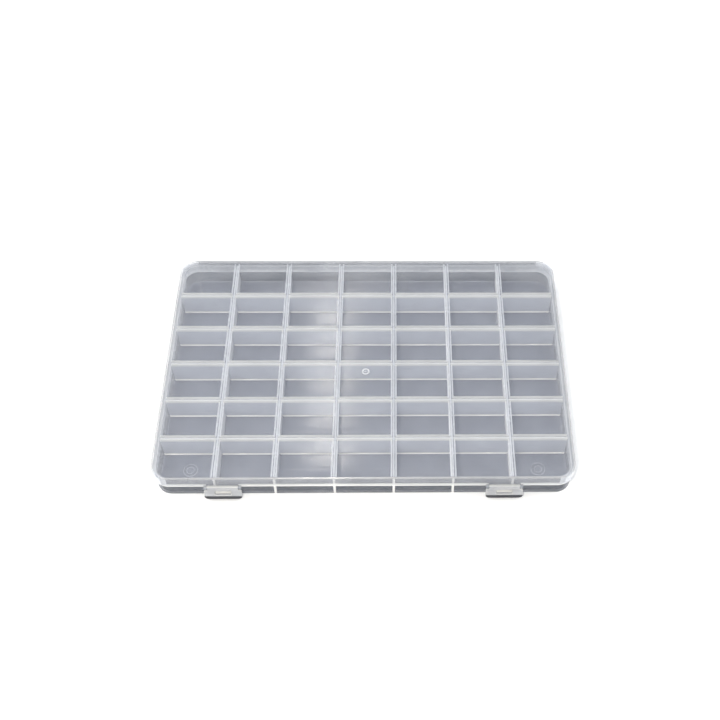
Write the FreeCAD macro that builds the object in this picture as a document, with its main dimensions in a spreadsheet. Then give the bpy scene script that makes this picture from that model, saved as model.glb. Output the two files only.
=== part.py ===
"""A flat clear compartment box: a tray with slotted dividers, a hinged lid and two front latches.

Millimetres, +Z up. The origin is the centre of the tray's underside, the front faces -Y and the hinge is at +Y.
"""
import FreeCAD, Part
import math
import os
import re
import Sketcher

COUNTS = {"columns": 7, "rows": 6}

# Driving dimensions: name, value, meaning
SIZES = (
    ("column_pitch", 38.5, "distance between column dividers"),
    ("row_pitch", 30.75, "distance between row dividers"),
    ("end_cell_width", 37.35, "clear width of the first and last column"),
    ("end_cell_depth", 28.6, "clear depth of the first and last row"),
    ("divider_wall", 1.2, "thickness of a divider"),
    ("divider_height", 17.6, "height of a divider above the floor"),
    ("divider_end_gap", 0.2, "gap between a divider's end and the tray wall"),
    ("slot_play", 0.1, "gap on each side of a divider in its slot"),
    ("floor_thickness", 1.2, "tray floor"),
    ("tray_wall", 1.4, "tray wall"),
    ("tray_edge_round", 0.8, "rounding of the tray's lower edge"),
    ("ring_radius", 4.9, "outside of a ring mark under the floor"),
    ("ring_core_radius", 2.2, "inside of a ring mark"),
    ("ring_side_distance", 18.9, "ring mark's centre to the side wall"),
    ("ring_end_distance", 16.4, "ring mark's centre to the front or rear wall"),
    ("mark_depth", 0.3, "depth of the ring marks and the gate mark"),
    ("lid_plate", 1.3, "thickness of the lid's plate"),
    ("lid_wall", 1.2, "thickness of the lid's skirt"),
    ("lid_gap", 0.45, "gap between the skirt and the tray wall"),
    ("lid_corner", 12.0, "radius of the lid's corners, seen from above"),
    ("lid_edge_round", 1.1, "rounding of the lid's upper edge"),
    ("lid_headroom", 1.2, "gap between the dividers and the lid's plate"),
    ("skirt_height", 9.4, "lid's top to the skirt's lower edge"),
    ("rib_depth", 1.7, "height of a lid rib"),
    ("rib_wall", 1.0, "thickness of a lid rib"),
    ("rib_gap", 0.35, "gap between a rib and the divider beside it"),
    ("rib_seat", 0.55, "how far the column ribs reach over the tray wall"),
    ("row_rib_end_gap", 0.45, "gap between a row rib's end and the tray wall, seen from above"),
    ("gate_radius", 2.9, "outside of the gate mark on the lid"),
    ("gate_core_radius", 0.9, "nub in the gate mark"),
    ("gate_offset", 8.6, "gate mark's distance in front of the centre"),
    ("side_gap", 0.3, "gap between hinge pieces that turn side by side"),
    ("swing_gap", 0.5, "gap between pieces that turn past one another"),
    ("pin_play", 0.05, "gap around a pin in the piece that turns on it"),
    ("hinge_length", 75.3, "length of one hinge"),
    ("hinge_side_distance", 26.4, "lid's side to the hinge's outer end"),
    ("lug_length", 9.0, "length of a hinge lug on the tray"),
    ("knuckle_radius", 2.2, "outside of lugs and knuckles"),
    ("hinge_pin_radius", 1.0, "hinge pin"),
    ("latch_side_distance", 46.2, "lid's side to the latch's centre"),
    ("latch_drop", 0.6, "skirt's lower edge to the latch axis"),
    ("latch_shoulder", 2.0, "latch axis to the top of the latch's wide part"),
    ("latch_length", 9.6, "latch axis to the lower end of the lip"),
    ("latch_reach", 3.1, "latch axis to the front of the lip"),
    ("latch_plate", 1.3, "thickness of a latch below its barrel"),
    ("lip_height", 3.7, "height of the lip's front"),
    ("lip_thickness", 2.0, "thickness of the lip"),
    ("lip_corner", 3.0, "radius of the lip's lower corners"),
    ("shoulder_corner", 1.2, "radius of the latch's upper corners"),
    ("barrel_length", 20.0, "length of a latch's barrel"),
    ("shoulder_width", 2.15, "how far a latch's wide part stands out on each side of its barrel"),
    ("barrel_radius", 1.4, "outside of a latch's barrel and of the ears beside it"),
    ("latch_pin_radius", 0.7, "latch pin"),
    ("ear_length", 1.8, "length of a latch ear on the lid"),
    ("window_width", 10.6, "width of a latch's window"),
    ("window_height", 2.8, "height of a latch's window"),
    ("catch_hold", 0.6, "how far a catch reaches over the lip"),
    ("catch_tip", 0.6, "thickness of a catch at its tip"),
    ("catch_root", 1.9, "thickness of a catch at the wall"),
)

# Worked-out sizes: name, formula in the names above it
WORKED_OUT = (
    ("first_column", "(columns - 2) * column_pitch / 2"),
    ("first_row", "(rows - 2) * row_pitch / 2"),
    ("tray_inner_side", "first_column + divider_wall / 2 + end_cell_width"),
    ("tray_inner_front", "first_row + divider_wall / 2 + end_cell_depth"),
    ("tray_side", "tray_inner_side + tray_wall"),
    ("tray_front", "tray_inner_front + tray_wall"),
    ("tray_corner", "lid_corner - lid_wall - lid_gap"),
    ("lid_inner_side", "tray_side + lid_gap"),
    ("lid_inner_front", "tray_front + lid_gap"),
    ("lid_side", "lid_inner_side + lid_wall"),
    ("lid_front", "lid_inner_front + lid_wall"),
    ("divider_middle", "floor_thickness + divider_height / 2"),
    ("divider_top", "floor_thickness + divider_height"),
    ("lid_underside", "divider_top + lid_headroom"),
    ("lid_top", "lid_underside + lid_plate"),
    ("skirt_low", "lid_top - skirt_height"),
    ("wall_top", "lid_underside - rib_depth"),
    ("slot_half_width", "divider_wall / 2 + slot_play"),
    ("channel_half_width", "divider_wall / 2 + rib_gap"),
    ("rib_pair_half_width", "channel_half_width + rib_wall"),
    ("column_rib_end", "tray_inner_front + rib_seat"),
    ("row_rib_end", "tray_inner_side - row_rib_end_gap"),
    ("hinge_outer_end", "lid_side - hinge_side_distance"),
    ("hinge_middle", "hinge_outer_end - hinge_length / 2"),
    ("hinge_axis_back", "lid_front + swing_gap + knuckle_radius"),
    ("hinge_axis_height", "skirt_low - swing_gap"),
    ("latch_middle", "lid_side - latch_side_distance"),
    ("latch_axis_front", "tray_front + swing_gap + barrel_radius"),
    ("latch_axis_height", "skirt_low - latch_drop"),
    ("latch_width", "barrel_length + 2 * shoulder_width"),
    ("notch_width", "barrel_length + 2 * side_gap"),
    ("latch_pin_length", "notch_width + 2 * ear_length"),
    ("plate_back", "barrel_radius - latch_plate"),
    ("lip_back", "latch_reach - lip_thickness"),
    ("lip_top", "latch_length - lip_height"),
    ("window_low", "lip_top - latch_plate / 2"),
    ("catch_low", "latch_axis_height - window_low + swing_gap"),
    ("catch_front", "latch_axis_front + lip_back + catch_hold"),
)

UP = FreeCAD.Vector(0, 0, 1)
FORWARD = FreeCAD.Vector(0, 1, 0)
TOLERANCE = 1e-4

doc = FreeCAD.newDocument("compartment_box")
sheet = doc.addObject("Spreadsheet::Sheet", "Sizes")
for line, (alias, number, meaning) in enumerate(SIZES, start=1):
    sheet.set(f"A{line}", meaning)
    sheet.set(f"B{line}", str(number))
    sheet.setAlias(f"B{line}", alias)
doc.recompute()

expressions = {alias: f"Sizes.{alias}" for alias, number, meaning in SIZES}
expressions.update((name, str(count)) for name, count in COUNTS.items())


def size(formula):
    """A formula in plain names, written as an expression on the sheet."""
    return "(" + re.sub("[a-z_]+", lambda word: expressions[word.group()], formula) + ")"


for name, formula in WORKED_OUT:
    expressions[name] = size(formula)


def value(formula):
    """The number that a formula gives."""
    return float(sheet.evalExpression(size(formula)))


def bind(item, name, formula):
    """Ties a property of an object to a formula."""
    item.setExpression(name, size(formula))


def place(part, x, y, z):
    """Ties a sub-part's position to formulas."""
    for axis, formula in zip("xyz", (x, y, z)):
        bind(part, f"Placement.Base.{axis}", formula)


def new_body(label):
    """An empty body, labelled as its file."""
    body = doc.addObject("PartDesign::Body", label)
    body.Label = label
    return body


def origin_feature(body, role):
    """A plane or axis of a body's own origin."""
    return next(feature for feature in body.Origin.OriginFeatures if feature.Role == role)


def new_sketch(body, name, plane, offset="0"):
    """A sketch on one of the body's origin planes, moved along the plane's normal."""
    sketch = body.newObject("Sketcher::SketchObject", name)
    sketch.AttachmentSupport = (origin_feature(body, plane), [""])
    sketch.MapMode = "FlatFace"
    bind(sketch, "AttachmentOffset.Base.z", offset)
    return sketch


def add_dimension(sketch, formula, *constraint):
    """A constraint of a sketch whose value is a formula."""
    index = sketch.addConstraint(Sketcher.Constraint(*constraint, value(formula)))
    bind(sketch, f"Constraints[{index}]", formula)


def fix_point(sketch, geometry, point, across, up):
    """Ties one point of a sketch to its distances from the sketch's origin."""
    add_dimension(sketch, across, "DistanceX", -1, 1, geometry, point)
    add_dimension(sketch, up, "DistanceY", -1, 1, geometry, point)


def polygon(sketch, corners):
    """A closed outline through corners, each a pair of formulas."""
    points = [FreeCAD.Vector(value(across), value(up), 0) for across, up in corners]
    following = points[1:] + points[:1]
    lines = [sketch.addGeometry(Part.LineSegment(*ends), False) for ends in zip(points, following)]
    for line, next_line, corner in zip(lines, lines[1:] + lines[:1], corners):
        sketch.addConstraint(Sketcher.Constraint("Coincident", line, 2, next_line, 1))
        fix_point(sketch, line, 1, *corner)


def rectangle(sketch, left, right, low, high):
    """A closed rectangle between four formulas."""
    polygon(sketch, ((left, low), (right, low), (right, high), (left, high)))


def rounded_rectangle(sketch, side, front, corner):
    """A closed rectangle with round corners, centred on the sketch's origin."""
    x, y, radius = value(side), value(front), value(corner)
    near_x, near_y = x - radius, y - radius
    ends_and_centres = (
        ((-near_x, -y), (near_x, -y), (near_x, -near_y)),
        ((x, -near_y), (x, near_y), (near_x, near_y)),
        ((near_x, y), (-near_x, y), (-near_x, near_y)),
        ((-x, near_y), (-x, -near_y), (-near_x, -near_y)),
    )
    lines = []
    arcs = []
    for quarter, (start, end, centre) in enumerate(ends_and_centres):
        lines.append(sketch.addGeometry(Part.LineSegment(FreeCAD.Vector(*start), FreeCAD.Vector(*end)), False))
        round_corner = Part.Circle(FreeCAD.Vector(*centre), UP, radius)
        turn = quarter * math.pi / 2
        arcs.append(sketch.addGeometry(Part.ArcOfCircle(round_corner, turn - math.pi / 2, turn), False))
    for line, arc, next_line in zip(lines, arcs, lines[1:] + lines[:1]):
        sketch.addConstraint(Sketcher.Constraint("Tangent", line, 2, arc, 1))
        sketch.addConstraint(Sketcher.Constraint("Tangent", arc, 2, next_line, 1))
    for arc in arcs[1:]:
        sketch.addConstraint(Sketcher.Constraint("Equal", arcs[0], arc))
    add_dimension(sketch, corner, "Radius", arcs[0])
    sides = (("Y", f"-{front}"), ("X", side), ("Y", front), ("X", f"-{side}"))
    for line, (axis, formula) in zip(lines, sides):
        sketch.addConstraint(Sketcher.Constraint("Horizontal" if axis == "Y" else "Vertical", line))
        add_dimension(sketch, formula, f"Distance{axis}", -1, 1, line, 1)


def circle(sketch, across, up, radius):
    """A circle from formulas."""
    centre = FreeCAD.Vector(value(across), value(up), 0)
    index = sketch.addGeometry(Part.Circle(centre, UP, value(radius)), False)
    fix_point(sketch, index, 3, across, up)
    add_dimension(sketch, radius, "Radius", index)


def extrude(body, kind, sketch, length, side, backwards):
    """A pad or pocket of a sketch."""
    feature = body.newObject(f"PartDesign::{kind}", f"{sketch.Name}{kind}")
    feature.Profile = sketch
    feature.SideType = side
    feature.Reversed = backwards
    bind(feature, "Length", length)
    doc.recompute()
    return feature


def pad(body, sketch, length, side="Symmetric"):
    """Material on both sides of a sketch, or along its normal with side "One side"."""
    return extrude(body, "Pad", sketch, length, side, False)


def pocket(body, sketch, length, side="Symmetric", backwards=False):
    """A cut on both sides of a sketch, or against its normal with side "One side"."""
    before = body.Shape.Volume
    feature = extrude(body, "Pocket", sketch, length, side, backwards)
    if body.Shape.Volume > before - TOLERANCE:
        raise RuntimeError(f"{feature.Name} cuts nothing")
    return feature


def finish_pattern(body, pattern):
    """Makes a pattern the body's last feature."""
    body.Tip = pattern
    doc.recompute()


def mirror(body, name, features):
    """Features repeated on the body's other side."""
    pattern = body.newObject("PartDesign::Mirrored", name)
    pattern.Originals = features
    pattern.MirrorPlane = (origin_feature(body, "YZ_Plane"), [""])
    finish_pattern(body, pattern)


def repeat(body, name, feature, axis, pitch, count):
    """A feature repeated along one of the body's origin axes."""
    pattern = body.newObject("PartDesign::LinearPattern", name)
    pattern.Originals = [feature]
    pattern.Direction = (origin_feature(body, axis), [""])
    pattern.Mode = "Spacing"
    bind(pattern, "Offset", pitch)
    bind(pattern, "Occurrences", count)
    finish_pattern(body, pattern)


def round_edges(body, name, radius, direction=None, **places):
    """A fillet on the edges whose middle lies at these distances from the origin, along a direction if given."""
    targets = {axis: abs(value(formula)) for axis, formula in places.items()}

    def wanted(edge):
        middle = edge.CenterOfMass
        if any(abs(abs(getattr(middle, axis)) - target) > TOLERANCE for axis, target in targets.items()):
            return False
        return direction is None or edge.tangentAt(edge.FirstParameter).cross(direction).Length < TOLERANCE

    base = body.Tip
    fillet = body.newObject("PartDesign::Fillet", name)
    fillet.Base = (base, [f"Edge{index}" for index, edge in enumerate(base.Shape.Edges, 1) if wanted(edge)])
    bind(fillet, "Radius", radius)
    doc.recompute()


def block(body, name, side, front, low, height, corner):
    """A block with round upright corners, centred on the origin."""
    sketch = new_sketch(body, name, "XY_Plane", low)
    rounded_rectangle(sketch, side, front, corner)
    pad(body, sketch, height, "One side")


def hollow(body, name, side, front, low, height, corner):
    """A space with round upright corners, centred on the origin."""
    sketch = new_sketch(body, name, "XY_Plane", low)
    rounded_rectangle(sketch, side, front, corner)
    pocket(body, sketch, height, "One side", backwards=True)


def make_tray():
    """The tray: floor and walls, ring marks, catches for the latches and lugs for the hinges."""
    tray = new_body("tray")
    block(tray, "Walls", "tray_side", "tray_front", "0", "wall_top", "tray_corner")
    round_edges(tray, "LowerEdge", "tray_edge_round", z="0")
    inner_height = "wall_top - floor_thickness"
    inner_corner = "tray_corner - tray_wall"
    hollow(tray, "Inside", "tray_inner_side", "tray_inner_front", "floor_thickness", inner_height, inner_corner)
    add_ring_marks(tray)
    add_catches(tray)
    add_lugs(tray)
    return tray


def add_ring_marks(tray):
    """Round grooves under the four corner compartments."""
    sketch = new_sketch(tray, "RingMarks", "XY_Plane")
    for x_side in (-1, 1):
        for y_side in (-1, 1):
            across = f"{x_side} * (tray_inner_side - ring_side_distance)"
            up = f"{y_side} * (tray_inner_front - ring_end_distance)"
            circle(sketch, across, up, "ring_radius")
            circle(sketch, across, up, "ring_core_radius")
    pocket(tray, sketch, "mark_depth", "One side", backwards=True)


def add_catches(tray):
    """Wedges on the front wall that reach into the latch windows."""
    sketch = new_sketch(tray, "Catch", "YZ_Plane", "latch_middle")
    polygon(sketch, (
        ("-tray_front", "catch_low"),
        ("-tray_front", "catch_low + catch_root"),
        ("-catch_front", "catch_low + catch_tip"),
        ("-catch_front", "catch_low"),
    ))
    catch = pad(tray, sketch, "window_width - 2 * side_gap")
    mirror(tray, "CatchLeft", [catch])


def add_hinge_leaf(body, name, middle, length, wall, low, high):
    """An arm from a rear wall and a barrel around the hinge axis."""
    arm = new_sketch(body, f"{name}Arm", "YZ_Plane", middle)
    rectangle(arm, wall, "hinge_axis_back", low, high)
    barrel = new_sketch(body, f"{name}Barrel", "YZ_Plane", middle)
    circle(barrel, "hinge_axis_back", "hinge_axis_height", "knuckle_radius")
    return [pad(body, arm, length), pad(body, barrel, length)]


def bore_hinge(body, name, radius):
    """A bore along one hinge."""
    sketch = new_sketch(body, name, "YZ_Plane", "hinge_middle")
    circle(sketch, "hinge_axis_back", "hinge_axis_height", radius)
    return pocket(body, sketch, "hinge_length")


def add_lugs(tray):
    """Two bored lugs for each hinge on the tray's rear wall."""
    to_lug_middle = "(hinge_length - lug_length) / 2"
    low = "hinge_axis_height - knuckle_radius"
    features = []
    for name, sign in (("InnerLug", "-"), ("OuterLug", "+")):
        middle = f"hinge_middle {sign} {to_lug_middle}"
        features += add_hinge_leaf(tray, name, middle, "lug_length", "tray_front", low, "hinge_axis_height")
    features.append(bore_hinge(tray, "LugBore", "hinge_pin_radius"))
    mirror(tray, "LugsLeft", features)


def make_lid():
    """The lid: plate and skirt, ribs, gate mark, hinge knuckles and mountings for the latches."""
    lid = new_body("lid")
    block(lid, "Shell", "lid_side", "lid_front", "skirt_low", "skirt_height", "lid_corner")
    round_edges(lid, "UpperEdge", "lid_edge_round", z="lid_top")
    inner_height = "skirt_height - lid_plate"
    hollow(lid, "Inside", "lid_inner_side", "lid_inner_front", "skirt_low", inner_height, "lid_corner - lid_wall")
    add_gate_mark(lid)
    add_knuckles(lid)
    add_latch_mountings(lid)
    add_ribs(lid)
    return lid


def rib_sketch(lid, name, along, half_width, half_length):
    """A bar along the first column divider or the first row divider, level with the ribs' lower edges."""
    sketch = new_sketch(lid, name, "XY_Plane", "wall_top")
    if along == "column":
        rectangle(sketch, f"-first_column - {half_width}", f"-first_column + {half_width}",
                  f"-{half_length}", half_length)
    else:
        rectangle(sketch, f"-{half_length}", half_length,
                  f"-first_row - {half_width}", f"-first_row + {half_width}")
    return sketch


def add_ribs(lid):
    """Bars above all dividers, split by a channel over each divider into pairs of ribs."""
    grids = (
        ("column", "X_Axis", "column_pitch", "columns - 1", "column_rib_end"),
        ("row", "Y_Axis", "row_pitch", "rows - 1", "row_rib_end"),
    )
    for along, axis, pitch, count, end in grids:
        sketch = rib_sketch(lid, f"{along}_bar", along, "rib_pair_half_width", end)
        bar = pad(lid, sketch, "rib_depth", "One side")
        repeat(lid, f"{along}_bars", bar, axis, pitch, count)
    for along, axis, pitch, count, end in grids:
        sketch = rib_sketch(lid, f"{along}_channel", along, "channel_half_width", end)
        channel = pocket(lid, sketch, "rib_depth", "One side", backwards=True)
        repeat(lid, f"{along}_channels", channel, axis, pitch, count)


def add_gate_mark(lid):
    """A shallow ring with a nub on the lid's upper face."""
    sketch = new_sketch(lid, "GateMark", "XY_Plane", "lid_top")
    circle(sketch, "0", "-gate_offset", "gate_radius")
    circle(sketch, "0", "-gate_offset", "gate_core_radius")
    pocket(lid, sketch, "mark_depth", "One side")


def add_knuckles(lid):
    """One bored knuckle between the lugs of each hinge."""
    length = "hinge_length - 2 * (lug_length + side_gap)"
    high = "hinge_axis_height + knuckle_radius"
    features = add_hinge_leaf(lid, "Knuckle", "hinge_middle", length, "lid_inner_front", "skirt_low", high)
    features.append(bore_hinge(lid, "KnuckleBore", "hinge_pin_radius + pin_play"))
    mirror(lid, "KnuckleLeft", features)


def add_latch_mountings(lid):
    """A notch in the skirt over each latch's barrel, and a bored ear at each end of it."""
    notch = new_sketch(lid, "LatchNotch", "XZ_Plane", "lid_front")
    left = "latch_middle - notch_width / 2"
    right = "latch_middle + notch_width / 2"
    rectangle(notch, left, right, "latch_axis_height", "latch_axis_height + barrel_radius + swing_gap")
    features = [pocket(lid, notch, "lid_wall + lid_gap", "One side")]
    to_ear_middle = "(notch_width + ear_length) / 2"
    for name, sign in (("InnerEar", "-"), ("OuterEar", "+")):
        middle = f"latch_middle {sign} {to_ear_middle}"
        web = new_sketch(lid, f"{name}Web", "YZ_Plane", middle)
        rectangle(web, "-lid_front", "-lid_inner_front", "latch_axis_height", "skirt_low")
        features.append(pad(lid, web, "ear_length"))
        ring = new_sketch(lid, f"{name}Ring", "YZ_Plane", middle)
        circle(ring, "-latch_axis_front", "latch_axis_height", "barrel_radius")
        features.append(pad(lid, ring, "ear_length"))
    bore = new_sketch(lid, "EarBore", "YZ_Plane", "latch_middle")
    circle(bore, "-latch_axis_front", "latch_axis_height", "latch_pin_radius")
    features.append(pocket(lid, bore, "latch_pin_length"))
    mirror(lid, "LatchMountingLeft", features)


def make_row_divider(number):
    """A strip from side to side, slotted from above for the column dividers; number 1 is the rear one."""
    strip = new_body(f"row_divider_{number}")
    end = "(tray_inner_side - divider_end_gap)"
    plate = new_sketch(strip, "Plate", "XZ_Plane")
    rectangle(plate, f"-{end}", end, "floor_thickness", "divider_top")
    pad(strip, plate, "divider_wall")
    slot = new_sketch(strip, "Slot", "XZ_Plane")
    left = "-first_column - slot_half_width"
    right = "-first_column + slot_half_width"
    rectangle(slot, left, right, "divider_middle", "divider_top")
    repeat(strip, "Slots", pocket(strip, slot, "divider_wall"), "X_Axis", "column_pitch", "columns - 1")
    place(strip, "0", f"first_row - {number - 1} * row_pitch", "0")
    return strip


def make_column_divider(number):
    """A strip from front to rear, slotted from below for the row dividers; number 1 is at the left."""
    strip = new_body(f"column_divider_{number}")
    end = "(tray_inner_front - divider_end_gap)"
    plate = new_sketch(strip, "Plate", "YZ_Plane")
    rectangle(plate, f"-{end}", end, "floor_thickness", "divider_top")
    pad(strip, plate, "divider_wall")
    slot = new_sketch(strip, "Slot", "YZ_Plane")
    left = "-first_row - slot_half_width"
    right = "-first_row + slot_half_width"
    rectangle(slot, left, right, "floor_thickness", "divider_middle")
    repeat(strip, "Slots", pocket(strip, slot, "divider_wall"), "Y_Axis", "row_pitch", "rows - 1")
    place(strip, f"{number - 1} * column_pitch - first_column", "0", "0")
    return strip


def make_latch(side, sign):
    """A flap that hangs from its barrel, with a window for the catch and a lip to pull; built around its own axis."""
    latch = new_body(f"latch_{side}")
    barrel = new_sketch(latch, "Barrel", "YZ_Plane")
    circle(barrel, "0", "0", "barrel_radius")
    pad(latch, barrel, "barrel_length")
    neck = new_sketch(latch, "Neck", "YZ_Plane")
    rectangle(neck, "-barrel_radius", "-plate_back", "-latch_shoulder", "0")
    pad(latch, neck, "barrel_length")
    flap = new_sketch(latch, "Flap", "YZ_Plane")
    polygon(flap, (
        ("-barrel_radius", "-latch_shoulder"),
        ("-latch_reach", "-lip_top"),
        ("-latch_reach", "-latch_length"),
        ("-lip_back", "-latch_length"),
        ("-lip_back", "-window_low"),
        ("-plate_back", "-latch_shoulder"),
    ))
    pad(latch, flap, "latch_width")
    bore = new_sketch(latch, "Bore", "YZ_Plane")
    circle(bore, "0", "0", "latch_pin_radius + pin_play")
    pocket(latch, bore, "barrel_length")
    window = new_sketch(latch, "Window", "XZ_Plane")
    rectangle(window, "-window_width / 2", "window_width / 2", "-window_low", "window_height - window_low")
    pocket(latch, window, "2 * latch_reach")
    round_edges(latch, "LipCorners", "lip_corner", FORWARD, x="latch_width / 2", z="latch_length")
    round_edges(latch, "ShoulderCorners", "shoulder_corner", FORWARD, x="latch_width / 2", z="latch_shoulder")
    place(latch, f"{sign}latch_middle", "-latch_axis_front", "latch_axis_height")
    return latch


def make_pin(label, radius, length, middle, y, z):
    """A rod that lies from side to side."""
    pin = doc.addObject("Part::Cylinder", label)
    pin.Label = label
    bind(pin, "Radius", radius)
    bind(pin, "Height", length)
    pin.Placement = FreeCAD.Placement(FreeCAD.Vector(), FreeCAD.Rotation(FORWARD, 90))
    place(pin, f"{middle} - {length} / 2", y, z)
    return pin


def export(parts):
    """Checks every object of the document and writes each sub-part to its own file."""
    doc.recompute()
    for item in doc.Objects:
        if "Invalid" in item.State or "Error" in item.State:
            raise RuntimeError(f"{item.Label} is {item.State}")
    os.makedirs("parts", exist_ok=True)
    for part in parts:
        if part.Shape.isNull() or not part.Shape.isValid():
            raise RuntimeError(f"{part.Label} has no valid shape")
        part.Shape.exportStep(f"parts/{part.Label}.step")


parts = [make_tray(), make_lid()]
parts += [make_row_divider(number) for number in range(1, COUNTS["rows"])]
parts += [make_column_divider(number) for number in range(1, COUNTS["columns"])]
for side, sign in (("left", "-"), ("right", "")):
    parts.append(make_latch(side, sign))
    parts.append(make_pin(f"latch_pin_{side}", "latch_pin_radius", "latch_pin_length",
                          f"{sign}latch_middle", "-latch_axis_front", "latch_axis_height"))
    parts.append(make_pin(f"hinge_pin_{side}", "hinge_pin_radius", "hinge_length",
                          f"{sign}hinge_middle", "hinge_axis_back", "hinge_axis_height"))
export(parts)
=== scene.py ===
"""Looks of the clear compartment box: bevelled skins over the CAD solids, clear plastic with painted
highlights and painted shade in the colours of its zones, and studio light.
"""
import math
from collections import namedtuple

import bmesh
import bpy
from mathutils import Matrix, Vector


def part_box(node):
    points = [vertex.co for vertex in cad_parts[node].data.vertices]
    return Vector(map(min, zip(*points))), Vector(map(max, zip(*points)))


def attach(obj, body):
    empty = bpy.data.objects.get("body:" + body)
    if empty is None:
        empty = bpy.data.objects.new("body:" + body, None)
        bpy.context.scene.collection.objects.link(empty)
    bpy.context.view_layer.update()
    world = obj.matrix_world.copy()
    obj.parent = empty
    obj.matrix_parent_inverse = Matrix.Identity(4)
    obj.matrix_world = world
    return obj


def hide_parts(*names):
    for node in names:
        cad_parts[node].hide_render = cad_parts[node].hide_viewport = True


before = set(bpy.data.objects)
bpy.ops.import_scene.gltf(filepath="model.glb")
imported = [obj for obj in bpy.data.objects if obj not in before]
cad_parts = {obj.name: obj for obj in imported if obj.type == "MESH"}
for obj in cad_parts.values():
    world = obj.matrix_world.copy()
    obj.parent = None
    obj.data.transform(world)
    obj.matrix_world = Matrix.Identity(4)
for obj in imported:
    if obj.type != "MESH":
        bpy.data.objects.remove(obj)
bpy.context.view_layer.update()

MM = 0.001
SIDEWAYS = Vector((1.0, 0.0, 0.0))
REARWARD = Vector((0.0, 1.0, 0.0))
UP = Vector((0.0, 0.0, 1.0))

Point = namedtuple("Point", "x y z")
Patch = namedtuple("Patch", "centre normal area width")


def corners(node):
    """Lowest and highest corner of a CAD node's box, in millimetres."""
    return [Point(*(round(value / MM, 3) for value in corner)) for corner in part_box(node)]


def middles(kind, axis):
    """Where the middles of all nodes of one kind lie along an axis, in millimetres."""
    boxes = [corners(node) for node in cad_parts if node.startswith(kind)]
    return sorted((getattr(low, axis) + getattr(high, axis)) / 2 for low, high in boxes)


# Camera of the photograph, in pixels, degrees and millimetres
PIXELS = 720
SENSOR = 36.0
FOCAL_PIXELS = 1101.4
SHIFT_PIXELS = 60.0
YAW = 2.033
PITCH = 52.839
ROLL = 1.515
DISTANCE = 788.35
TARGET = Vector((38.01, 17.25, 0.0))

# Sizes of the CAD model that its boxes don't show, in millimetres
TRAY_WALL = 1.4
TRAY_INNER_CORNER = 8.95
DIVIDER_GAP = 0.2
LID_WALL = 1.2
LID_PLATE = 1.3
SKIRT_LOW = 11.9
MARK_DEPTH = 0.3
LIP_TOP = 5.4

# Sizes worked out from the boxes of the CAD nodes, in millimetres
COLUMN_PLACES = middles("column_divider", "x")
ROW_PLACES = middles("row_divider", "y")
COLUMNS = len(COLUMN_PLACES) + 1
ROWS = len(ROW_PLACES) + 1
ROW_LOW, ROW_HIGH = corners("row_divider_1")
DIVIDER_HALF = (ROW_HIGH.y - ROW_LOW.y) / 2
FLOOR_TOP = ROW_LOW.z
TRAY_SIDE = corners("tray")[1].x
WALL_TOP = corners("tray")[1].z
TRAY_INNER_SIDE = ROW_HIGH.x + DIVIDER_GAP
TRAY_INNER_FRONT = corners("column_divider_1")[1].y + DIVIDER_GAP
TRAY_FRONT = TRAY_INNER_FRONT + TRAY_WALL
LID_TOP = corners("lid")[1].z
LID_UNDERSIDE = LID_TOP - LID_PLATE
LID_INNER_SIDE = corners("lid")[1].x - LID_WALL
LID_INNER_FRONT = TRAY_FRONT + LID_INNER_SIDE - TRAY_SIDE
LID_FRONT = LID_INNER_FRONT + LID_WALL

# Limits that part one zone of a moulding from the next, in millimetres and square millimetres
RIB_REACH = 2.1
JOINT_HALF = 0.75
SKIRT_BEAD = 1.1
LIP_LOW = 2.2
BARREL_LOW = 9.6
BARREL_TOP = 12.3
EDGE_WIDTH = 0.35
BROAD_AREA = 60.0
NEAR = 0.25
TIGHT = 0.05

# How far a normal points along an axis, at least, on a level face and on a face turned that way
LEVEL = 0.9
TURNED = 0.5

# Bevels, and how meshes are cleaned: lengths in millimetres, angles in radians
TRAY_BEVEL = 0.2
LID_BEVEL = 0.15
DIVIDER_BEVEL = 0.15
LATCH_BEVEL = 0.25
BEVEL_STEPS = 2
BEVEL_PROFILE = 0.5
MERGE = 0.001
FLAT_ANGLE = math.radians(0.5)
SHARP_ANGLE = math.radians(35)

# Rounded feet of the walls: lengths in millimetres, counts, and the most slope of a straight stretch
FOOT_RADIUS = 0.7
FOOT_CLEAR = 0.02
FOOT_STEPS = 4
CORNER_STEPS = 6
STRAIGHT = 0.1

# Beads in the ring marks and in the gate mark: lengths in millimetres, and counts
# A gate ring has its radius and its half width
RING_SIDE = 115.3
RING_FRONT = 74.3
RING_RADII = (4.6, 2.5)
RING_BEAD = 0.28
GATE = Vector((0.0, -8.6, LID_TOP - MARK_DEPTH / 2))
GATE_RINGS = ((2.1, 0.62), (0.4, 0.3))
GATE_HALF_HEIGHT = 0.13
RING_STEPS = 40
BEAD_SIDES = 8

# Texture of the plastic: noise scales in features per metre, bump depth in millimetres
NOISE_MIDDLE = (0.3, 0.7)
TINT_SCALE = 60.0
TINT_SPREAD = 0.04
HAZE_SCALE = 45.0
FLOW_SCALE = 900.0
FLOW_STRETCH = (0.12, 1.0, 1.0)
GLOSS_SCALE = 400.0
GLOSS_SPREAD = 0.2
BUMP_SCALE = 1200.0
BUMP_STRENGTH = 0.05
BUMP_DEPTH = 0.1
REFRACTION = 1.59
SHEEN_ROUGHNESS = 0.4

# Stage: the floor's width in metres, its depth under the box in millimetres
FLOOR_WIDTH = 8.0
FLOOR_DROP = 0.02
FLOOR_WHITE = 0.98
FLOOR_ROUGHNESS = (0.75, 0.85)
FLOOR_SCALE = 30.0
LAYERS_SEEN_THROUGH = 48


def new_material(name):
    """An empty node material with its output."""
    material = bpy.data.materials.new(name)
    material.use_nodes = True
    tree = material.node_tree
    tree.nodes.clear()
    output = tree.nodes.new("ShaderNodeOutputMaterial")
    return material, tree, output


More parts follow.
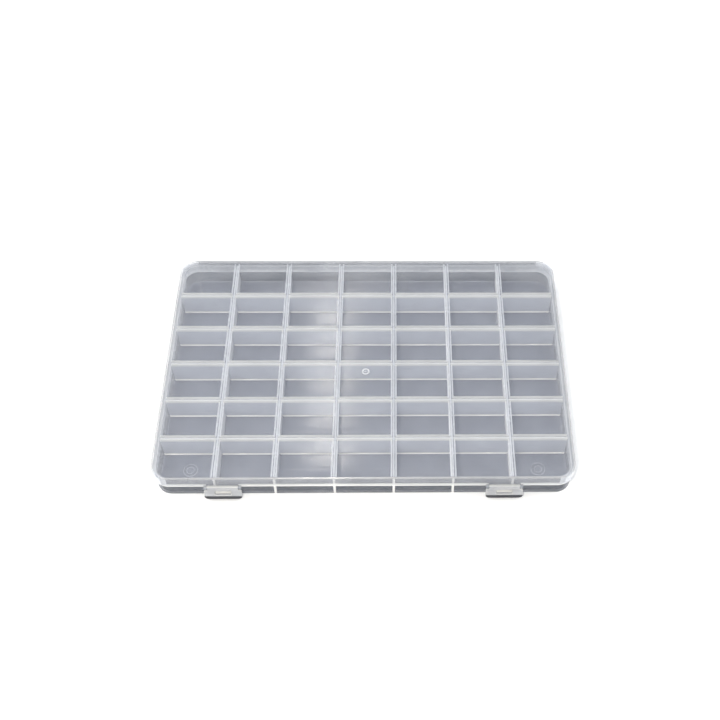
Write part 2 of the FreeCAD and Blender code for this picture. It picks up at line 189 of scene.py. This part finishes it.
def noise(tree, coordinates, scale, low, high, detail=2.0):
    """Noise at a scale in features per metre, mapped to a range."""
    texture = tree.nodes.new("ShaderNodeTexNoise")
    texture.inputs["Scale"].default_value = scale
    texture.inputs["Detail"].default_value = detail
    tree.links.new(coordinates, texture.inputs["Vector"])
    mapped = tree.nodes.new("ShaderNodeMapRange")
    mapped.inputs["From Min"].default_value = NOISE_MIDDLE[0]
    mapped.inputs["From Max"].default_value = NOISE_MIDDLE[1]
    mapped.inputs["To Min"].default_value = low
    mapped.inputs["To Max"].default_value = high
    tree.links.new(texture.outputs["Fac"], mapped.inputs["Value"])
    return mapped.outputs["Result"]


def stretched(tree, coordinates, factors):
    """Coordinates scaled by one factor per axis."""
    mapping = tree.nodes.new("ShaderNodeMapping")
    mapping.inputs["Scale"].default_value = factors
    tree.links.new(coordinates, mapping.inputs["Vector"])
    return mapping.outputs["Vector"]


def total(tree, first, second):
    """The sum of two values."""
    node = tree.nodes.new("ShaderNodeMath")
    node.operation = "ADD"
    tree.links.new(first, node.inputs[0])
    tree.links.new(second, node.inputs[1])
    return node.outputs["Value"]


def tinted(tree, coordinates, colour):
    """A colour that drifts a little from place to place."""
    ramp = tree.nodes.new("ShaderNodeValToRGB")
    for element, factor in zip(ramp.color_ramp.elements, (1 - TINT_SPREAD, 1 + TINT_SPREAD)):
        element.color = (*[channel * factor for channel in colour], 1.0)
    tree.links.new(noise(tree, coordinates, TINT_SCALE, 0.0, 1.0, detail=3.0), ramp.inputs["Fac"])
    return ramp.outputs["Color"]


def hazy(tree, coordinates, share, variation):
    """How much of the light the surface catches: cloudy, with fine lines where the melt flowed."""
    cloud = noise(tree, coordinates, HAZE_SCALE, share - variation, share + variation)
    along = stretched(tree, coordinates, FLOW_STRETCH)
    lines = noise(tree, along, FLOW_SCALE, -variation / 2, variation / 2)
    return total(tree, cloud, lines)


def rippled(tree, coordinates):
    """A normal with the faint ripple of moulded plastic."""
    bump = tree.nodes.new("ShaderNodeBump")
    bump.inputs["Strength"].default_value = BUMP_STRENGTH
    bump.inputs["Distance"].default_value = BUMP_DEPTH * MM
    tree.links.new(noise(tree, coordinates, BUMP_SCALE, 0.0, 1.0), bump.inputs["Height"])
    return bump.outputs["Normal"]


def plastic(name, colour, share, roughness, variation=0.04, gloss=1.0, sheen=0.0):
    """Hazy clear plastic: share is how much of the light the surface catches."""
    material, tree, output = new_material(name)
    place = tree.nodes.new("ShaderNodeTexCoord").outputs["Object"]
    shader = tree.nodes.new("ShaderNodeBsdfPrincipled")
    shader.inputs["IOR"].default_value = REFRACTION
    shader.inputs["Specular IOR Level"].default_value = gloss
    shader.inputs["Sheen Weight"].default_value = sheen
    shader.inputs["Sheen Roughness"].default_value = SHEEN_ROUGHNESS
    smooth = roughness * (1 - GLOSS_SPREAD)
    rough = roughness * (1 + GLOSS_SPREAD)
    tree.links.new(tinted(tree, place, colour), shader.inputs["Base Color"])
    tree.links.new(hazy(tree, place, share, variation), shader.inputs["Alpha"])
    tree.links.new(noise(tree, place, GLOSS_SCALE, smooth, rough, detail=4.0), shader.inputs["Roughness"])
    tree.links.new(rippled(tree, place), shader.inputs["Normal"])
    tree.links.new(shader.outputs["BSDF"], output.inputs["Surface"])
    return material


def dress(piece, body, slot, *nodes):
    """Puts a piece into the scene on its body, in place of CAD nodes."""
    bpy.context.scene.collection.objects.link(piece)
    normals = piece.modifiers.new("flat faces stay flat", "WEIGHTED_NORMAL")
    normals.keep_sharp = True
    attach(piece, body)
    if nodes:
        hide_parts(*nodes)


def bevelled(mesh, bevel, cuts):
    """A mesh's shape with bevelled edges; each cut is a point of a plane that is square to the way there."""
    shape = bmesh.new()
    shape.from_mesh(mesh)
    bmesh.ops.remove_doubles(shape, verts=shape.verts, dist=MERGE * MM)
    bmesh.ops.dissolve_limit(shape, angle_limit=FLAT_ANGLE, verts=shape.verts, edges=shape.edges)
    sharp = [edge for edge in shape.edges if edge.is_manifold and edge.calc_face_angle() > SHARP_ANGLE]
    bmesh.ops.bevel(shape, geom=sharp, offset=bevel * MM, segments=BEVEL_STEPS, profile=BEVEL_PROFILE,
                    affect="EDGES", clamp_overlap=False)
    for point in cuts:
        everything = shape.verts[:] + shape.edges[:] + shape.faces[:]
        bmesh.ops.bisect_plane(shape, geom=everything, plane_co=point * MM, plane_no=point.normalized())
    bmesh.ops.dissolve_degenerate(shape, dist=MERGE * MM, edges=shape.edges)
    return shape


def patch_of(face):
    """What a face's zone is chosen by: its centre, normal, area and mean width, in millimetres."""
    area = face.calc_area() / MM ** 2
    longest = max(edge.calc_length() for edge in face.edges) / MM
    return Patch(face.calc_center_median() / MM, face.normal, area, area / longest)


def skin(node, body, slot, bevel, looks, choose, cuts=()):
    """A bevelled copy of a CAD node; choose names the zone of a face, and looks has each zone's material."""
    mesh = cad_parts[node].data.copy()
    shape = bevelled(mesh, bevel, cuts)
    zones = list(looks)
    for face in shape.faces:
        face.material_index = zones.index(choose(patch_of(face)))
        face.smooth = True
    mesh.materials.clear()
    for material in looks.values():
        mesh.materials.append(material)
    shape.to_mesh(mesh)
    shape.free()
    dress(bpy.data.objects.new(f"{node}_skin", mesh), body, slot, node)


def add_piece(name, body, slot, shape, materials):
    """A piece that stands for no CAD node, made from a finished shape."""
    bmesh.ops.recalc_face_normals(shape, faces=shape.faces)
    mesh = bpy.data.meshes.new(name)
    shape.to_mesh(mesh)
    shape.free()
    for material in materials:
        mesh.materials.append(material)
    dress(bpy.data.objects.new(name, mesh), body, slot)


def off_line(value, places):
    """Distance to the nearest divider along one axis."""
    return min(abs(value - place) for place in places)


def divider_cuts(axis, places, reach):
    """Points of the cutting planes on both sides of each divider."""
    return [axis * (place + side * reach) for place in places for side in (-1, 1)]


def tray_zone(patch):
    """The zone of the tray that a face belongs to."""
    centre = patch.centre
    upright = abs(patch.normal.z) < LEVEL
    in_front_wall = centre.y < -TRAY_INNER_FRONT + NEAR
    between_corners = abs(centre.x) < TRAY_INNER_SIDE - TRAY_INNER_CORNER
    if upright and centre.z < MARK_DEPTH and between_corners and not in_front_wall:
        return "mark"
    if not upright and centre.z < FLOOR_TOP + NEAR:
        return "floor"
    if centre.y < -TRAY_FRONT - NEAR:
        return "catch"
    if centre.z > WALL_TOP - NEAR:
        return "rim"
    if in_front_wall:
        return "joint" if off_line(centre.x, COLUMN_PLACES) < JOINT_HALF else "front"
    if centre.z > SKIRT_LOW:
        return "behind skirt"
    in_side_wall = abs(centre.x) > TRAY_INNER_SIDE - NEAR
    return "inner side" if in_side_wall and centre.x * patch.normal.x < 0 else "wall"


def lid_zone(patch):
    """The zone of the lid that a face belongs to."""
    centre = patch.centre
    inside = abs(centre.x) < LID_INNER_SIDE - NEAR and abs(centre.y) < LID_INNER_FRONT - NEAR
    if centre.z > LID_UNDERSIDE + NEAR:
        if inside:
            return "plate"
        return "rear edge" if centre.y > LID_INNER_FRONT else "upper edge"
    if abs(patch.normal.z) > LEVEL and centre.z > LID_UNDERSIDE - NEAR:
        return "plate"
    if inside:
        return "row rib" if off_line(centre.y, ROW_PLACES) < RIB_REACH else "column rib"
    if centre.y < -LID_FRONT - TIGHT:
        return "skirt"
    if centre.y > LID_FRONT - TIGHT:
        return "back"
    if SKIRT_LOW - NEAR < centre.z < SKIRT_LOW + SKIRT_BEAD:
        return "bead"
    return "front skirt" if centre.y < -LID_INNER_FRONT + NEAR else "skirt"


def divider_zone(patch):
    """The zone of a divider that a face belongs to."""
    return "face" if patch.area > BROAD_AREA and abs(patch.normal.z) < TURNED else "edge"


def latch_zone(patch):
    """The zone of a latch that a face belongs to; the top of the barrel counts as an edge."""
    height = patch.centre.z
    if height < LIP_LOW or (height < LIP_TOP - NEAR and patch.normal.y < -TURNED):
        return "lip"
    if height > BARREL_LOW:
        return "edge" if height > BARREL_TOP else "flap"
    return "edge" if patch.width < EDGE_WIDTH else "flap"


def cell_ends(index, places, wall):
    """Low and high end of a compartment along one axis."""
    low = -wall if index == 0 else places[index - 1] + DIVIDER_HALF
    high = wall if index == len(places) else places[index] - DIVIDER_HALF
    return low, high


def corner_points(corner, quarter, radius):
    """Points round one corner of a compartment; a radius of 0 gives the corner alone."""
    if radius <= 0:
        return [corner]
    turns = [quarter * math.pi / 2 + step * math.pi / 2 / CORNER_STEPS for step in range(CORNER_STEPS + 1)]
    middle = quarter * math.pi / 2 + math.pi / 4
    centre = corner - Vector((math.cos(middle), math.sin(middle))) * radius * math.sqrt(2)
    return [centre + Vector((math.cos(turn), math.sin(turn))) * radius for turn in turns]


def cell_outline(column, row, inset):
    """A compartment's outline on the floor, drawn in by an inset; the tray's own corners are round."""
    left, right = cell_ends(column, COLUMN_PLACES, TRAY_INNER_SIDE)
    front, rear = cell_ends(row, ROW_PLACES, TRAY_INNER_FRONT)
    cell_corners = (
        (right, rear, COLUMNS - 1, ROWS - 1),
        (left, rear, 0, ROWS - 1),
        (left, front, 0, 0),
        (right, front, COLUMNS - 1, 0),
    )
    middle = Vector(((left + right) / 2, (front + rear) / 2))
    points = []
    for quarter, (x, y, end_column, end_row) in enumerate(cell_corners):
        is_tray_corner = column == end_column and row == end_row
        towards = Vector((math.copysign(inset, middle.x - x), math.copysign(inset, middle.y - y)))
        radius = TRAY_INNER_CORNER - inset if is_tray_corner else 0
        points += corner_points(Vector((x, y)) + towards, quarter, radius)
    return points


def foot_loops(shape, column, row):
    """Loops of points around a compartment, from its walls down to its floor in a hollow curve."""
    loops = []
    for step in range(FOOT_STEPS + 1):
        turn = math.pi / 2 * step / FOOT_STEPS
        inset = FOOT_RADIUS * (1 - math.cos(turn)) + FOOT_CLEAR
        height = FLOOR_TOP + FOOT_RADIUS * (1 - math.sin(turn)) + FOOT_CLEAR
        outline = cell_outline(column, row, inset)
        loops.append([shape.verts.new((point.x * MM, point.y * MM, height * MM)) for point in outline])
    return loops


def add_foot_strip(shape, upper, lower, has_row_divider):
    """Faces between two loops; those at the foot of the row divider behind have the first material, a painted
    highlight, and the rest the second, painted shade.
    """
    for index in range(len(upper)):
        face = shape.faces.new((upper[index - 1], upper[index], lower[index], lower[index - 1]))
        face.smooth = True
        across = upper[index].co - upper[index - 1].co
        along_rear = across.x < 0 and abs(across.y) < abs(across.x) * STRAIGHT
        face.material_index = 0 if has_row_divider and along_rear else 1


def add_foot_fillets(looks):
    """The rounded feet of walls and dividers around the floor of every compartment."""
    shape = bmesh.new()
    for column in range(COLUMNS):
        for row in range(ROWS):
            loops = foot_loops(shape, column, row)
            for upper, lower in zip(loops, loops[1:]):
                add_foot_strip(shape, upper, lower, row < ROWS - 1)
    add_piece("foot_fillets", "tray_body", "tray_plastic", shape, looks)


def add_bead(shape, centre, radius, half_width, half_height):
    """A closed bead with an oval section that lies flat in a circle."""
    rings = []
    for step in range(RING_STEPS):
        turn = step * math.tau / RING_STEPS
        outward = Vector((math.cos(turn), math.sin(turn), 0.0))
        ring = []
        for side in range(BEAD_SIDES):
            around = side * math.tau / BEAD_SIDES
            offset = outward * math.cos(around) * half_width + UP * math.sin(around) * half_height
            ring.append(shape.verts.new((centre + outward * radius + offset) * MM))
        rings.append(ring)
    for ring, following in zip(rings, rings[1:] + rings[:1]):
        for side in range(BEAD_SIDES):
            face = shape.faces.new((ring[side - 1], following[side - 1], following[side], ring[side]))
            face.smooth = True


def add_ring_marks(material):
    """Two round beads under each corner compartment."""
    shape = bmesh.new()
    for x_side in (-1, 1):
        for y_side in (-1, 1):
            centre = Vector((x_side * RING_SIDE, y_side * RING_FRONT, RING_BEAD))
            for radius in RING_RADII:
                add_bead(shape, centre, radius, RING_BEAD, RING_BEAD)
    add_piece("ring_marks", "tray_body", "tray_plastic", shape, [material])


def add_gate_mark(material):
    """A flat ring and a dot in the lid's gate mark."""
    shape = bmesh.new()
    for radius, half_width in GATE_RINGS:
        add_bead(shape, GATE, radius, half_width, GATE_HALF_HEIGHT)
    add_piece("gate_mark_ring", "lid_body", "lid_plastic", shape, [material])


def add_floor():
    """A large pale floor."""
    material, tree, output = new_material("pale_floor")
    place = tree.nodes.new("ShaderNodeTexCoord").outputs["Object"]
    shader = tree.nodes.new("ShaderNodeBsdfPrincipled")
    shader.inputs["Base Color"].default_value = (FLOOR_WHITE, FLOOR_WHITE, FLOOR_WHITE, 1.0)
    tree.links.new(noise(tree, place, FLOOR_SCALE, *FLOOR_ROUGHNESS, detail=3.0), shader.inputs["Roughness"])
    tree.links.new(shader.outputs["BSDF"], output.inputs["Surface"])
    bpy.ops.mesh.primitive_plane_add(size=FLOOR_WIDTH, location=(0, 0, -FLOOR_DROP * MM))
    floor = bpy.context.object
    floor.name = "floor"
    floor.data.materials.append(material)


def add_light(name, place, size, power, colour=(1.0, 1.0, 1.0)):
    """A square area light that points at the origin, where the box lies; place and size are in metres."""
    data = bpy.data.lights.new(name, "AREA")
    data.size = size
    data.energy = power
    data.color = colour
    item = bpy.data.objects.new(name, data)
    bpy.context.scene.collection.objects.link(item)
    item.location = place
    item.rotation_euler = (-Vector(place)).to_track_quat("-Z", "Y").to_euler()


def add_world(colour, strength):
    """Even light from all around."""
    world = bpy.data.worlds.new("studio")
    world.use_nodes = True
    background = world.node_tree.nodes["Background"]
    background.inputs["Color"].default_value = (*colour, 1.0)
    background.inputs["Strength"].default_value = strength
    bpy.context.scene.world = world


def add_camera():
    """The photograph's camera."""
    yaw, pitch, roll = (math.radians(angle) for angle in (YAW, PITCH, ROLL))
    forward = Vector((math.sin(yaw) * math.cos(pitch), math.cos(yaw) * math.cos(pitch), -math.sin(pitch)))
    level_right = Vector((math.cos(yaw), -math.sin(yaw), 0.0))
    level_up = level_right.cross(forward)
    right = level_right * math.cos(roll) + level_up * math.sin(roll)
    up = level_up * math.cos(roll) - level_right * math.sin(roll)
    data = bpy.data.cameras.new("camera")
    data.sensor_width = SENSOR
    data.lens = FOCAL_PIXELS * SENSOR / PIXELS
    data.shift_x = -SHIFT_PIXELS / PIXELS
    camera = bpy.data.objects.new("camera", data)
    bpy.context.scene.collection.objects.link(camera)
    turn = Matrix((right, up, -forward)).transposed().to_4x4()
    camera.matrix_world = Matrix.Translation((TARGET - forward * DISTANCE) * MM) @ turn
    bpy.context.scene.camera = camera


# Materials of the zones: copies of one clear plastic, many of them lit and shaded copies, with painted
# highlights and painted shade in their colours and shares
tray_looks = {
    # Floor: the plastic's own bluish tint, darkened with painted shade for the dark ground seen through it
    "floor": plastic("tray_floor_tint_and_painted_shade_plastic", colour=(0.27, 0.293, 0.357), share=0.5, roughness=0.08),
    # Walls: painted shade, a dark copy of the plastic for walls in shade
    "wall": plastic("tray_wall_painted_shade_plastic", colour=(0.085, 0.098, 0.128), share=0.58, roughness=0.25),
    # Rim: painted highlight, a light copy of the plastic on the tops of the walls
    "rim": plastic("tray_rim_painted_highlight_plastic", colour=(0.62, 0.63, 0.65), share=0.55, roughness=0.2),
    # Marks: painted highlight, near white, on the moulded ring marks
    "mark": plastic("tray_mark_painted_highlight_plastic", colour=(1.0, 1.0, 0.98), share=0.9, roughness=0.25),
    "catch": plastic("tray_catch_plastic", colour=(0.72, 0.71, 0.68), share=0.85, roughness=0.2),
    # Behind the skirt: painted light, a bright copy for the wall tops seen through the lid's skirt
    "behind skirt": plastic("tray_wall_top_painted_light_plastic", colour=(0.85, 0.87, 0.9), share=0.43, roughness=0.25),
    # Front wall: painted shade, near black, for the dark front surroundings it reflects
    "front": plastic("tray_front_painted_shade_plastic", colour=(0.03, 0.038, 0.055), share=0.41, roughness=0.25),
    # Joints: painted highlight, cream, where the column dividers meet the front wall
    "joint": plastic("tray_joint_painted_highlight_plastic", colour=(0.9, 0.89, 0.86), share=0.7, roughness=0.2),
    "inner side": plastic("tray_side_plastic", colour=(0.27, 0.28, 0.31), share=0.58, roughness=0.25),
}
lid_looks = {
    "plate": plastic("lid_plate_plastic", colour=(0.4, 0.42, 0.48), share=0.11, roughness=0.1,
                     variation=0.02),
    "skirt": plastic("lid_skirt_plastic", colour=(0.37, 0.395, 0.44), share=0.42, roughness=0.2),
    "upper edge": plastic("lid_edge_plastic", colour=(0.42, 0.42, 0.42), share=0.5, roughness=0.15),
    # Row ribs: painted highlight, a lit cream copy of the plastic
    "row rib": plastic("lid_rib_plastic", colour=(0.83, 0.83, 0.82), share=0.75, roughness=0.2),
    # Bead: painted highlight, the light line along the skirt's lower edge
    "bead": plastic("lid_bead_painted_highlight_plastic", colour=(0.9, 0.9, 0.87), share=0.7, roughness=0.15),
    # Rear edge: painted shade, a dark, nearly solid line along the lid's rear edge
    "rear edge": plastic("lid_rear_painted_shade_plastic", colour=(0.2, 0.208, 0.225), share=0.95, roughness=0.3,
                         variation=0.03, gloss=0.2),
    # Column ribs: painted highlight, a dimmer bluish copy of the plastic
    "column rib": plastic("lid_column_rib_painted_highlight_plastic", colour=(0.82, 0.84, 0.88), share=0.68, roughness=0.25),
    "front skirt": plastic("lid_front_skirt_plastic", colour=(0.55, 0.57, 0.62), share=0.22, roughness=0.2),
    "back": plastic("lid_back_plastic", colour=(0.57, 0.58, 0.6), share=0.78, roughness=0.25),
}
row_looks = {
    "face": plastic("row_divider_plastic", colour=(0.8, 0.83, 0.9), share=0.51, roughness=0.08),
    # Edges: painted highlight on the tops of the row dividers
    "edge": plastic("divider_edge_painted_highlight_plastic", colour=(0.8, 0.81, 0.82), share=0.75, roughness=0.2),
}
column_looks = {
    # Column faces: painted light, a whiter, more solid copy of the divider plastic so the side faces look lit
    "face": plastic("column_divider_painted_light_plastic", colour=(0.97, 0.98, 1.0), share=0.8, roughness=0.22, sheen=1.0),
    # Edges: painted highlight on the tops of the column dividers
    "edge": plastic("column_edge_painted_highlight_plastic", colour=(0.82, 0.84, 0.88), share=0.7, roughness=0.25),
}
latch_looks = {
    "flap": plastic("latch_flap_plastic", colour=(0.56, 0.57, 0.59), share=0.5, roughness=0.18),
    # Lip: painted shade, near black, on the lip's front face
    "lip": plastic("latch_lip_painted_shade_plastic", colour=(0.02, 0.022, 0.03), share=0.97, roughness=0.4,
                   variation=0.02, gloss=0.3),
    # Edges: painted highlight along the latch's edges and the top of its barrel
    "edge": plastic("latch_edge_painted_highlight_plastic", colour=(0.7, 0.7, 0.685), share=0.65, roughness=0.2),
}
foot_looks = [
    # Feet of the row dividers: painted highlight, a lit cream copy
    plastic("foot_front_painted_highlight_plastic", colour=(0.95, 0.94, 0.91), share=0.82, roughness=0.2),
    # Other feet: painted shade, a darker copy
    plastic("foot_side_painted_shade_plastic", colour=(0.5, 0.52, 0.57), share=0.4, roughness=0.2),
]
# Gate ring: painted highlight on the moulded gate mark
gate_look = plastic("lid_gate_painted_highlight_plastic", colour=(0.84, 0.85, 0.86), share=0.34, roughness=0.3)
pin_look = plastic("pin_plastic", colour=(0.6, 0.63, 0.66), share=0.6, roughness=0.25)

# Skins over the CAD nodes
tray_cuts = [UP * SKIRT_LOW, *divider_cuts(SIDEWAYS, COLUMN_PLACES, JOINT_HALF)]
lid_cuts = [UP * (SKIRT_LOW + SKIRT_BEAD), *divider_cuts(REARWARD, ROW_PLACES, RIB_REACH)]
skin("tray", "tray_body", "tray_plastic", TRAY_BEVEL, tray_looks, tray_zone, tray_cuts)
skin("lid", "lid_body", "lid_plastic", LID_BEVEL, lid_looks, lid_zone, lid_cuts)
for node in sorted(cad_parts):
    if "divider" in node:
        looks = row_looks if "row" in node else column_looks
        skin(node, "tray_body", "divider_plastic", DIVIDER_BEVEL, looks, divider_zone)
for side in ("left", "right"):
    skin(f"latch_{side}", f"latch_{side}_body", "latch_plastic", LATCH_BEVEL, latch_looks, latch_zone)
    for pin in (f"latch_pin_{side}", f"hinge_pin_{side}"):
        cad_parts[pin].data.materials.clear()
        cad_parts[pin].data.materials.append(pin_look)

# Fine detail that the CAD nodes leave out
add_foot_fillets(foot_looks)
# The ring beads take the mark material, near white as a painted highlight
add_ring_marks(tray_looks["mark"])
add_gate_mark(gate_look)

# Stage, light and camera
add_floor()
add_world(colour=(0.93, 0.96, 1.0), strength=0.75)
add_light("left softbox", place=(-0.95, 0.3, 1.0), size=1.0, power=10.0)
add_light("right softbox", place=(0.95, 0.3, 1.0), size=1.0, power=6.2)
add_light("lamp beside the camera", place=(-0.07, -0.46, 0.63), size=0.05, power=2.9,
          colour=(1.0, 0.95, 0.86))
add_camera()
bpy.context.scene.view_settings.view_transform = "Standard"
bpy.context.scene.cycles.transparent_max_bounces = LAYERS_SEEN_THROUGH
